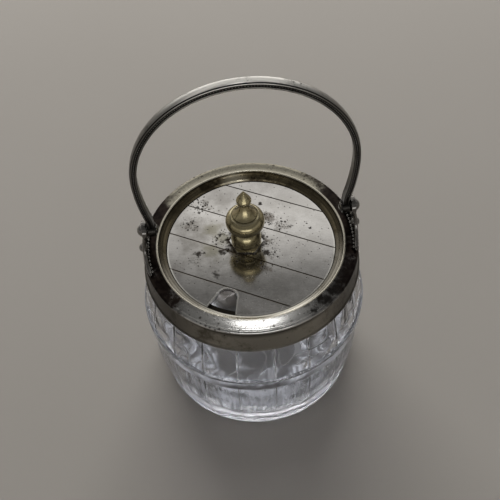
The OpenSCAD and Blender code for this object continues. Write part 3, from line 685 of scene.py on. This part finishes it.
# %% Finish helper
class Finish(Sketch):
    """A new material: constants for its shader, then colour, roughness and bump by wire, then the pieces that wear it."""

    def __init__(self, name, **shader):
        self.mat = bpy.data.materials.new(name)
        self.mat.use_nodes = True
        super().__init__(self.mat.node_tree)
        self.bsdf = self.tree.nodes["Principled BSDF"]
        for key, value in shader.items():
            self.bsdf.inputs[key.replace("_", " ")].default_value = value
        self.here = self.add("TexCoord", "Object")

    def age(self, **amounts):
        node = self.tree.nodes.new("ShaderNodeGroup")
        node.node_tree = OLD_PLATE
        for key, value in amounts.items():
            self.fill(node.inputs[key.replace("_", " ")], value)
        return node.outputs

    def wire(self, colour, rough, height, strength, distance=.0004):
        bump = self.add("Bump", Strength=strength, Distance=distance, Height=height)
        for name, value in (("Base Color", colour), ("Roughness", rough), ("Normal", bump)):
            self.tree.links.new(value, self.bsdf.inputs[name])

    def on(self, *objs):
        for obj in objs:
            obj.data.materials.clear()
            obj.data.materials.append(self.mat)
        print(f"{self.mat.name}: {len(self.tree.nodes)} nodes, on {[obj.name for obj in objs]}")


print("a finish adds:", [name for name in vars(Finish) if name[0] != "_"])

# %% [markdown]
# Marks on old metal have a place. Round masks seen from above put them there, and noise that pushes the
# coordinates about
# gives the masks ragged edges. Small pits come from a cell pattern that keeps a dot in some of its cells.
# A painted picture could do this too, but masks by formula stay sharp at any distance and need no file.

# %% Mask helpers
def any_of(g, place, spots):
    """Largest of many round masks; each spot is x, y, the radius where it is full and the radius where it ends, in mm."""
    above = g.flat(place)
    return g.most(*(g.over(g.vector("DISTANCE", above, (x*MM, y*MM, 0)), full, end, 1.0, 0.0) for x, y, full, end in spots))


def pits(g, place, scale, share):
    """Round pits in the given share of the cells of a cell pattern."""
    cell = g.add("TexVoronoi", Vector=place, Scale=scale, Randomness=1.0)
    chosen = g.maths("LESS_THAN", g.add("SeparateColor", i0=cell.node.outputs["Color"]), share)
    return g.times(chosen, g.band(cell, .22, .4, 1.0, 0.0))


def wobbled(g, here, reach, scale):
    """Coordinates pushed sideways by noise: here + reach (noise - 1/2)."""
    colour = g.noise(here, scale, 3.0).node.outputs["Color"]
    return g.vector("MULTIPLY_ADD", g.vector("SUBTRACT", colour, (.5, .5, .5)), (reach, reach, 0), here)


print("masks:", [f.__name__ for f in (any_of, pits, wobbled)])

# %% [markdown]
# The lid is the brightest plate. Sugar and damp have pitted it round the finial and in a few crowds,
# brown and olive stains lie beside them, and single black pits go through the silver. The dark ring
# round the finial's foot is painted shade as well as a brown stain.
# Each kind of mark is a list of places, so that one kind can be changed without the others.

# %% Where the lid is marked
lid = Finish("lid_plate_silver", Metallic=1.0)
ragged = wobbled(lid, lid.here, .010, 240)
crowds = any_of(lid, ragged, [(-20, 27, 2, 6), (-13, 6, 1.5, 5), (-27, 16, 1, 6), (10, 14, 2, 6), (17, 9, 2, 6), (8, 0, 2, 6),
                              (9, -7, 1.5, 5), (5, -14, 1, 5), (-28, -6, 1, 5), (FIN_X, FIN_Y, 8, 13)])
black = any_of(lid, wobbled(lid, lid.here, .002, 900), [
    (7.6, 23.8, .7, 1.3), (27.9, 8.2, .2, .5), (29, 5.1, .4, .8), (-22.5, 22.7, .3, .8),
    (-10.3, 4, .5, 1.3), (-13.7, 7.6, .4, 1.2), (-8.6, 2.6, .6, 1.4), (-7.5, -9, .4, 1.0)])
# the first brown place, the ring round the finial's foot, is painted shade as well as stain
brown = any_of(lid, wobbled(lid, lid.here, .006, 480), [
    (FIN_X, FIN_Y, 7.2, 10.5), (-25, -2, .8, 2.0), (-22.8, -1.6, .3, 1.5), (-13.8, -2.6, .9, 2.3),
    (-11.4, -1.5, .4, 1.7), (-17.4, -15.2, .2, 2.2), (-9.5, 3.5, 1.2, 3.0), (6.5, -6, .8, 2.6)])
olive = any_of(lid, ragged, [(-16.8, 11.1, 1, 7), (-12.1, 4.9, 1, 5), (-18, -1, 1, 7)])
holes = lid.most(black, pits(lid, lid.here, 620, lid.times(crowds, .55)),
                 pits(lid, lid.here, 1250, lid.plus(.06, lid.times(crowds, .5))))
print("lid masks:", len(lid.tree.nodes), "nodes")

# %% [markdown]
# The plate under the marks is bright silver with a grey tarnish that grows to the left and to the front,
# and painted shade darkens it further towards the front, the left and the back. The engraved lines hold dirt,
# the underside is painted dark as shade, and the notch's lip and the front edge carry painted highlights.
# These follow the height and the radius, so each is laid over the others as a coat, like washes in a painting.

# %% Lid finish
x, y, z = lid.split(lid.here)
tarnish = lid.times(lid.band(lid.noise(lid.here, 75, 5, .6), .36, .7), lid.over(x, 34, -34, .4, 1.0))
old = lid.age(Plate=lid.mix(tarnish, (.80, .78, .75), (.42, .40, .37)), Bloom=(.24, .21, .18), Gloss=.06,
              Bloom_Amount=lid.plus(.38, lid.times(crowds, .3)), Spot_Amount=lid.plus(.3, lid.times(crowds, .5)))
# grey tarnish and painted shade darken the plate towards the front, less at the very edge
to_front = lid.times(lid.over(y, 2, -24), lid.over(y, -26, -36, 1.0, .15))
# painted shade: the plate is darker towards the left and towards the back
outer_shade = lid.most(lid.over(x, -18, -37, 0.0, .45), lid.over(y, 18, 36, 0.0, .28))
in_line = lid.times(lid.over(z, LID_TOP - .45, LID_TOP - .35), lid.over(z, LID_TOP - .25, LID_TOP - .02, 1.0, 0.0))
# the lid's underside is painted dark as shade
underside = lid.over(z, LID_Z + .1, LID_TOP - .6, 1.0, 0.0)
# painted highlight on the notch's raised lip
notch_lip = lid.over(z, LID_TOP + .05, LID_TOP + .3)
# painted highlight along the lid's front and side edge
edge_highlight = lid.times(lid.over(lid.from_axis(lid.here), LID_R - .75, LID_R - .45, 0.0, .85), lid.over(y, 14, -6))
colour = lid.coats(old["Color"], (to_front, .38, (.12, .12, .12)), (outer_shade, 1, (.25, .24, .23)),
                   (olive, .5, (.24, .22, .12)), (brown, .92, (.022, .016, .010)), (holes, .92, (.02, .014, .01)),
                   (in_line, 1, (.19, .155, .11)), (underside, 1, (.06, .05, .04)),
                   (notch_lip, 1, (.85, .83, .78)), (edge_highlight, 1, (.90, .88, .82)))
lid.wire(colour, lid.plus(old["Roughness"], lid.times(holes, .3)), lid.less(old["Height"], lid.times(holes, .8)), .1)
lid.on(nodes["lid_plate"])

# %% [markdown]
# The rolled rim keeps its silver in front, goes yellow at the back and is black beside the ears, where no cloth
# reaches.
# Its crest is painted bright, partly polishing wear and partly a painted highlight, and painted shade darkens the
# underside of the roll. The change from bright to black is ragged, so the sides are found on wobbled coordinates.

# %% Rim finish
rim_look = Finish("rim_silver", Metallic=1.0)
ragged = wobbled(rim_look, rim_look.here, .012, 180)
x, y, _ = rim_look.split(ragged)
at_sides = rim_look.over(rim_look.size(x), 26, 44)
to_back = rim_look.over(y, 8, 30)
old = rim_look.age(Plate=rim_look.mix(to_back, (.64, .63, .605), (.47, .44, .355)), Bloom=(.05, .038, .03), Gloss=.11, Size=1.3,
                   Bloom_Amount=rim_look.plus(.36, rim_look.times(at_sides, .65)),
                   Spot_Amount=rim_look.plus(.62, rim_look.times(at_sides, .2)))
soot = rim_look.times(rim_look.over(x, 14, 26), rim_look.over(y, -18, -28))
black = any_of(rim_look, wobbled(rim_look, rim_look.here, .005, 500), [
    (26, -37, 1, 3), (31, -34, 1, 3), (35.5, -29.7, 1, 3.5), (19.2, -38.8, .6, 2), (22.5, -42.4, .6, 2.4), (38, -25, 2, 5.5),
    (41, -20, 2, 6), (43, -12, 1, 4), (34, -33, 1.5, 5), (39.5, -28, 2, 6), (29, -38, 1, 4), (-41, -19, 1.5, 5)])
grains = rim_look.most(pits(rim_look, rim_look.here, 520, .10), pits(rim_look, rim_look.here, 1150, .22))
mottle = rim_look.band(rim_look.noise(rim_look.here, 420, 4), .35, .62, 1.0, .55)
# crest: partly polishing wear, partly a painted highlight
on_crest = rim_look.over(rim_look.from_axis(rim_look.here), RIM_IN + .5, RIM_IN + 1.1, 1.0, 0.0)
# painted shade under the roll, where it overhangs the collar
below = rim_look.over(rim_look.split(rim_look.here)[2], RIM_TOP - 2.3, RIM_TOP - 1.4, 1.0, 0.0)
colour = rim_look.coats(old["Color"], (soot, .55, (.05, .046, .042)), (black, .9, (.02, .016, .013)),
                        (grains, .8, (.05, .037, .027)), (rim_look.times(at_sides, mottle), .95, (.009, .006, .006)),
                        (on_crest, .8, (.84, .79, .66)), (below, 1, (.02, .017, .014)))
rim_look.wire(colour, old["Roughness"], old["Height"], .06)
rim_look.on(rim)

# %% [markdown]
# The collar is duller: its plate has worn through to the grey base metal. Painted shade darkens it under the rim
# and towards both sides.

# %% Collar finish
collar_look = Finish("collar_worn", Metallic=1.0)
x, _, z = collar_look.split(collar_look.here)
old = collar_look.age(Plate=(.31, .29, .25), Bloom=(.12, .106, .08), Bloom_Amount=.6, Spot_Amount=.5, Gloss=.26)
# painted shade under the rim and towards both sides
collar_shade = collar_look.most(collar_look.over(z, RIM_Z - 3.2, RIM_Z - .2, 0.0, .9),
                        collar_look.over(collar_look.size(x), 18, 44, 0.0, .8))
collar_look.wire(collar_look.mix(collar_shade, old["Color"], (.02, .017, .013)), old["Roughness"], old["Height"], .12)
collar_look.on(band)

# %% [markdown]
# The cove round the lid is hard to wipe. Its front half is painted bright and brassy as painted light, and its back
# half and its sides are brown, partly tarnish and partly painted shade, with a painted highlight at the back's middle.
# The ledge below the lid is painted dark as shade.

# %% Cove finish
cove_look = Finish("cove_brassy", Metallic=1.0)
x, _, z = cove_look.split(cove_look.here)
# painted light: the cove's front half is brighter and its back half darker
to_front = cove_look.over(cove_look.split(wobbled(cove_look, cove_look.here, .02, 120))[1], 6, -22)
old = cove_look.age(Plate=cove_look.mix(to_front, (.27, .225, .14), (.86, .82, .72)),
                    Bloom=cove_look.mix(to_front, (.04, .031, .019), (.42, .37, .27)),
                    Bloom_Amount=cove_look.less(.72, cove_look.times(to_front, .3)), Spot_Amount=.5, Gloss=.18)
# painted shade towards the sides
at_sides = cove_look.over(cove_look.size(x), 12, 30)
# painted highlight at the middle of the cove's back
back_highlight = any_of(cove_look, cove_look.here, [(-3, 38, 2, 9)])
# the ledge under the lid is painted dark as shade
ledge = cove_look.over(z, LID_Z + .2, LID_TOP + .1, 1.0, 0.0)
colour = cove_look.coats(old["Color"], (at_sides, .78, (.06, .05, .032)), (back_highlight, .75, (.80, .73, .56)),
                         (ledge, 1, (.03, .026, .02)))
cove_look.wire(colour, old["Roughness"], old["Height"], .1)
cove_look.on(seat)

# %% [markdown]
# The finial is brass whose plate has gone. Each turned groove holds grime and painted shade, and the widest places
# are rubbed bright and carry painted highlights. Both are thin rings at known heights, so the named heights of the
# half section are used again here.

# %% Finial finish
brass = Finish("finial_old_brass", Metallic=1.0)
high = brass.split(brass.here)[2]


def rings_at(*rings):
    """Largest of thin rings round the finial, each a height above the lid and a half width in millimetres."""
    return brass.most(*(brass.over(brass.size(brass.less(high, (LID_TOP + h)*MM)), half*.6, half, 1.0, 0.0) for h, half in rings))


old = brass.age(Plate=(.44, .38, .225), Bloom=(.075, .058, .028), Bloom_Amount=.6, Spot_Amount=.35, Gloss=.17)
# dark rings in the grooves: grime and painted shade
groove_grime_and_shade = rings_at((cup_top + .2, .4), (ball_low - .1, .3), (ball_cut + .1, .14), (cone_top, .35))
# bright rings at the widest places: rubbing and painted highlights
rubbed_and_highlit = rings_at((ball_cut - .3, .12), (bead_z, .35), (bulb_z, .5))
colour = brass.coats(old["Color"], (rubbed_and_highlit, .8, (.62, .56, .40)), (groove_grime_and_shade, .9, (.03, .025, .015)))
brass.wire(colour, old["Roughness"], old["Height"], .05)
brass.on(finial, nodes["finial_nut"])

# %% [markdown]
# Ears, rivets and pearls are blackened all over, and the small washer under the finial is still bright.
# Neither needs a mask of its own: the aged plate with other amounts is enough.

# %% Ears, rivets, pearls and washer
dark = Finish("blackened_plate", Metallic=1.0)
old = dark.age(Plate=(.22, .21, .197), Bloom=(.034, .029, .025), Bloom_Amount=.58, Spot_Amount=.4, Gloss=.13)
dark.wire(old["Color"], old["Roughness"], old["Height"], .12)
dark.on(*(bpy.data.objects[name] for name in ("ear_right", "ear_left", "rivet_right", "rivet_left", "bail_pearls")))

bright = Finish("washer_silver", Metallic=1.0)
old = bright.age(Plate=(.90, .88, .84), Bloom=(.30, .27, .22), Bloom_Amount=.25, Spot_Amount=.2, Gloss=.16)
bright.wire(old["Color"], old["Roughness"], old["Height"], .1)
bright.on(nodes["finial_washer"])

# %% [markdown]
# The handle is painted darker down its legs and darkest near the eyes, which is painted shade, so its top
# stays bright. Its channels are black with old polish.
# The channel is the part of the flank that lies deeper than the edges, so the distance from the middle plane
# finds it.

# %% Strap finish
strap_look = Finish("strap_plate", Metallic=1.0)
x, y, z = strap_look.split(strap_look.here)
depth = strap_look.size(y)
sunk = strap_look.times(strap_look.over(depth, 2.12, 2.18, 1.0, 0.0), strap_look.over(depth, 1.6, 1.75))
# painted shade: the legs darken away from the top and are darkest near the eyes
leg_shade = strap_look.over(strap_look.size(x), 10, 36, 0.0, .8)
eye_shade = strap_look.over(z, PIVOT_Z + 3, PIVOT_Z + 8, .92, 0.0)
old = strap_look.age(Plate=(.80, .78, .73), Bloom=(.085, .075, .06), Bloom_Amount=.52, Spot_Amount=.5, Gloss=.26)
colour = strap_look.coats(old["Color"], (leg_shade, 1, (.06, .055, .05)), (sunk, 1, (.02, .018, .016)),
                          (eye_shade, 1, (.02, .018, .016)))
strap_look.wire(colour, old["Roughness"], old["Height"], .05)
strap_look.on(bail)

# %% [markdown]
# Plaster fixes the collar on the glass neck. It only shows as a pale tone behind the shoulder, so a matt grain
# is all it gets.

# %% Plaster finish
plaster = Finish("old_plaster")
grain = plaster.noise(plaster.here, 700, 5)
plaster.wire(plaster.mix(grain, (.42, .39, .33), (.62, .59, .52)), plaster.band(grain, .3, .7, .7, .95), grain, .3)
plaster.on(nodes["plaster_bed"])

# %% [markdown]
# Pressed glass is clear but never flat: it ripples, and its lower wall is drawn into fine upright runs.
# Inside, sugar has left a dusty film low down and thin tide lines higher up. The foot's edge is ground dull.
# These change roughness and bump only, because a film on glass blurs what is seen through it and hardly colours it.

# %% Glass film and ripples
pressed = Finish("pressed_glass", Transmission_Weight=1.0, IOR=1.5, Metallic=0.0)
x, _, up = pressed.split(pressed.here)
from_axis = pressed.from_axis(pressed.here)
on_inside = pressed.over(from_axis, 49.5, 51, 1.0, 0.0)
low_wall = pressed.times(pressed.over(up, 36, 48, 1.0, 0.0), pressed.over(up, 10, 16))
round_jar = pressed.vector("NORMALIZE", pressed.flat(pressed.here))
drawn_out = pressed.vector("MULTIPLY", pressed.here, (0, 0, .12))
run = pressed.noise(pressed.vector("MULTIPLY_ADD", round_jar, (.054, .054, 0), drawn_out), 380, 4, .6)
dust = pressed.times(pressed.band(run, .42, .58), low_wall)
flow = pressed.maths("FRACT", pressed.times(pressed.noise(pressed.here, 44, 1, distortion=.8), 4.0))
tide = pressed.times(pressed.band(pressed.size(pressed.less(flow, .5)), .02, .07, 1.0, 0.0), pressed.over(up, 44, 52))
sugar = pressed.times(pressed.most(dust, tide), on_inside)
film = pressed.band(pressed.noise(pressed.here, 260, 6), .45, .75)
ground = pressed.over(up, 1.6, 4.2, .35, 0.0)
rough = pressed.plus(ground, pressed.times(film, .012), pressed.times(sugar, .36))
ripple = pressed.noise(pressed.here, 70, 2, .4)
waves = pressed.plus(ripple, pressed.times(run, low_wall, 2.3), pressed.times(tide, on_inside, .45))
print("glass film and ripples:", len(pressed.tree.nodes), "nodes")

# %% [markdown]
# The glass is a touch blue. Painted shade deepens its colour where the wall turns away from the eye,
# at the foot's outer edge and at the sides beside the collar. A dark brown patch of painted shade lies on the inner
# floor.

# %% Glass colour
# painted shade: the glass darkens where its wall turns away from the eye and at the foot's outer edge
edge_shade = pressed.band(pressed.add("LayerWeight", "Facing", Blend=.5), .52, .94)
foot_shade = pressed.times(pressed.over(up, 1.2, 5.0, .85, 0.0), pressed.over(from_axis, 45.5, 47.5))
# painted shade on the glass's upper sides beside the collar
side_shade = pressed.times(pressed.over(pressed.size(x), 14, 32), pressed.over(up, 44, 56))
# painted shade: a dark patch on the inner floor, where the notch looks in
from_floor_shade = pressed.vector("DISTANCE", wobbled(pressed, pressed.here, .01, 90), (-.010, .030, .009))
floor_shade = pressed.times(pressed.over(from_floor_shade, 13, 21, 1.0, 0.0), pressed.over(up, 8.5, 8.8))
clear = pressed.mix(film, (.965, .972, 1), (.93, .94, .975))
colour = pressed.coats(clear, (edge_shade, 1, (.15, .155, .19)), (foot_shade, 1, (.26, .265, .29)),
                       (side_shade, 1, (.66, .67, .70)), (floor_shade, 1, (.08, .07, .06)))
pressed.wire(colour, rough, waves, .14, .002)
pressed.on(glass)

# %% [markdown]
# The jar stands on a plain pale sheet. Far off, the sheet takes the same tone as the backdrop for the camera,
# so no horizon shows.
# A jar gathers light on the table beneath it, which takes a renderer long to find. Here a ring of rays glows softly,
# and only rays that come through the glass can see it.

# %% Floor
WARM, BACKDROP, FLOOR_HALF = (1, .985, .96), .36, 6
corners = [(-FLOOR_HALF, -FLOOR_HALF, 0), (FLOOR_HALF, -FLOOR_HALF, 0), (FLOOR_HALF, FLOOR_HALF, 0), (-FLOOR_HALF, FLOOR_HALF, 0)]
floor_mesh = bpy.data.meshes.new("floor")
floor_mesh.from_pydata(corners, [], [(0, 1, 2, 3)])
floor = bpy.data.objects.new("floor", floor_mesh)
floor.location = (0, 0, -.0002)
bpy.context.scene.collection.objects.link(floor)

sheet = Finish("pale_sheet", Roughness=.9, Emission_Strength=1.0)
reach = sheet.from_axis(sheet.here)
ring = sheet.times(sheet.over(reach, 24, 34), sheet.over(reach, 44, 55, 1.0, 0.0))
lifted = sheet.add("CombineXYZ", i2=sheet.times(reach, 2.0))
outward = sheet.vector("ADD", sheet.vector("NORMALIZE", sheet.flat(sheet.here)), lifted)
rays = sheet.band(sheet.noise(outward, 14, 3, .6), .43, .60)
gathered = sheet.times(ring, sheet.plus(.06, sheet.times(rays, .62)))
glow = sheet.times(sheet.add("LightPath", "Is Transmission Ray"), sheet.plus(.02, gathered))
far_off = sheet.times(sheet.add("LightPath", "Is Camera Ray"), sheet.over(reach, 400, 1200))
cloth = sheet.mix(sheet.noise(sheet.here, 3), (.40, .375, .345), (.45, .425, .395))
lit = sheet.mix(glow, (0, 0, 0), (.93, .95, 1))
backdrop = tuple(BACKDROP*c for c in WARM)
sheet.tree.links.new(sheet.mix(far_off, cloth, (0, 0, 0)), sheet.bsdf.inputs["Base Color"])
sheet.tree.links.new(sheet.mix(far_off, lit, backdrop), sheet.bsdf.inputs["Emission Color"])
sheet.on(floor)

# %% [markdown]
# Three soft lamps light the jar. A wide one stands low behind, a small one hangs high and puts the bright spot
# on the rim's front,
# and a low window in front fills the near side. Metal would show the wide lamp as a hard white shape in low views,
# so mirror rays don't see it, and the room below gives them a dimmer glow in its place.

# %% Lamps
def soft_light(name, place, target, size, watts, colour=(1, 1, 1)):
    """Area lamp of a width and height in metres that looks at a target."""
    data = bpy.data.lights.new(name, "AREA")
    data.shape, data.energy, data.color = "RECTANGLE", watts, colour
    data.size, data.size_y = size
    lamp = bpy.data.objects.new(name, data)
    bpy.context.scene.collection.objects.link(lamp)
    lamp.location = place
    lamp.rotation_euler = (Vector(target) - Vector(place)).to_track_quat("-Z", "Y").to_euler()
    print(f"{name}: {watts} W from {place}")
    return lamp


back_box = soft_light("back_box", (0, 1.9, .54), (0, 0, .05), (2.0, .8), 62.0, WARM)
back_box.visible_glossy = False
soft_light("high_lamp", (.03, .28, 1.09), (0, 0, .09), (.12, .12), .35)
soft_light("window", (0, -1.6, .31), (0, 0, .09), (1.5, .34), 3.0)

# %% [markdown]
# The room is what the metal mirrors: dim all round, with a brighter panel high up behind, which the lid reflects.
# The camera, mirrors and glass see the pale backdrop low down, so the far floor and the sky are one tone.
# A soft sheen low behind is added for mirror rays alone.

# %% World
world = bpy.data.worlds.new("room")
bpy.context.scene.world = world
world.use_nodes = True
room = Sketch(world.node_tree)
_, deep, up = room.split(room.add("TexCoord", "Generated"))
camera_ray, glossy_ray, through_ray = (room.add("LightPath", f"Is {kind} Ray") for kind in ("Camera", "Glossy", "Transmission"))
panel = room.times(room.band(up, .52, .64), room.band(up, .76, .85, 1.0, 0.0))
tone = room.plus(.13, room.times(room.band(deep, .05, .35, .15, 1.0), panel, .62))
mirrored = room.times(room.most(glossy_ray, through_ray), room.band(up, .25, .40, 1.0, 0.0))
seen = room.most(camera_ray, mirrored)
tone = room.plus(room.times(tone, room.less(1.0, seen)), room.times(seen, BACKDROP))
sheen = room.times(room.band(deep, .66, .88), room.band(up, 0.0, .06), room.band(up, .38, .5, 1.0, 0.0), glossy_ray)
background = world.node_tree.nodes["Background"]
world.node_tree.links.new(room.plus(tone, sheen), background.inputs["Strength"])
background.inputs["Color"].default_value = (*WARM, 1)
bpy.context.scene.view_settings.view_transform = "Standard"
print("room:", len(world.node_tree.nodes), "nodes")

# %% [markdown]
# The camera stands where the photograph was taken: well above the rim, a touch to the left and rolled a few
# degrees on its own axis.
# Its place and lens were fitted to the rim, the lid's edge and the outline, so they are set as numbers and
# built into a matrix.

# %% Camera
AIM_Z, AWAY, AIM_SIDE, AIM_DROP = 90.0, 315.9, -.53, -7.97
FOCAL_PIXELS, PICTURE_PIXELS, SENSOR = 680, 500, 36
tilt, roll, aside = np.radians([52.24, -3.62, -4.5])
eye_at = AWAY*np.array([np.sin(aside)*np.cos(tilt), -np.cos(aside)*np.cos(tilt), np.sin(tilt)])
aim = np.array([AIM_SIDE*np.cos(aside), AIM_SIDE*np.sin(aside), AIM_DROP])
back = (eye_at - aim)/np.linalg.norm(eye_at - aim)
right = np.cross([0, 0, 1.0], back)
right /= np.linalg.norm(right)
upward = np.cross(back, right)
side_x = np.cos(roll)*right + np.sin(roll)*upward
side_y = -np.sin(roll)*right + np.cos(roll)*upward
cam_data = bpy.data.cameras.new("camera")
cam_data.sensor_width, cam_data.lens = SENSOR, FOCAL_PIXELS/PICTURE_PIXELS*SENSOR
cam_data.clip_start, cam_data.clip_end = .01, 50
camera = bpy.data.objects.new("camera", cam_data)
bpy.context.scene.collection.objects.link(camera)
spot = (eye_at + [0, 0, AIM_Z])*MM
camera.matrix_world = Matrix([[side_x[i], side_y[i], back[i], spot[i]] for i in range(3)] + [[0, 0, 0, 1]])
bpy.context.scene.camera = camera
print("camera at", [round(v, 4) for v in spot], "lens", round(cam_data.lens, 2))

# %% [markdown]
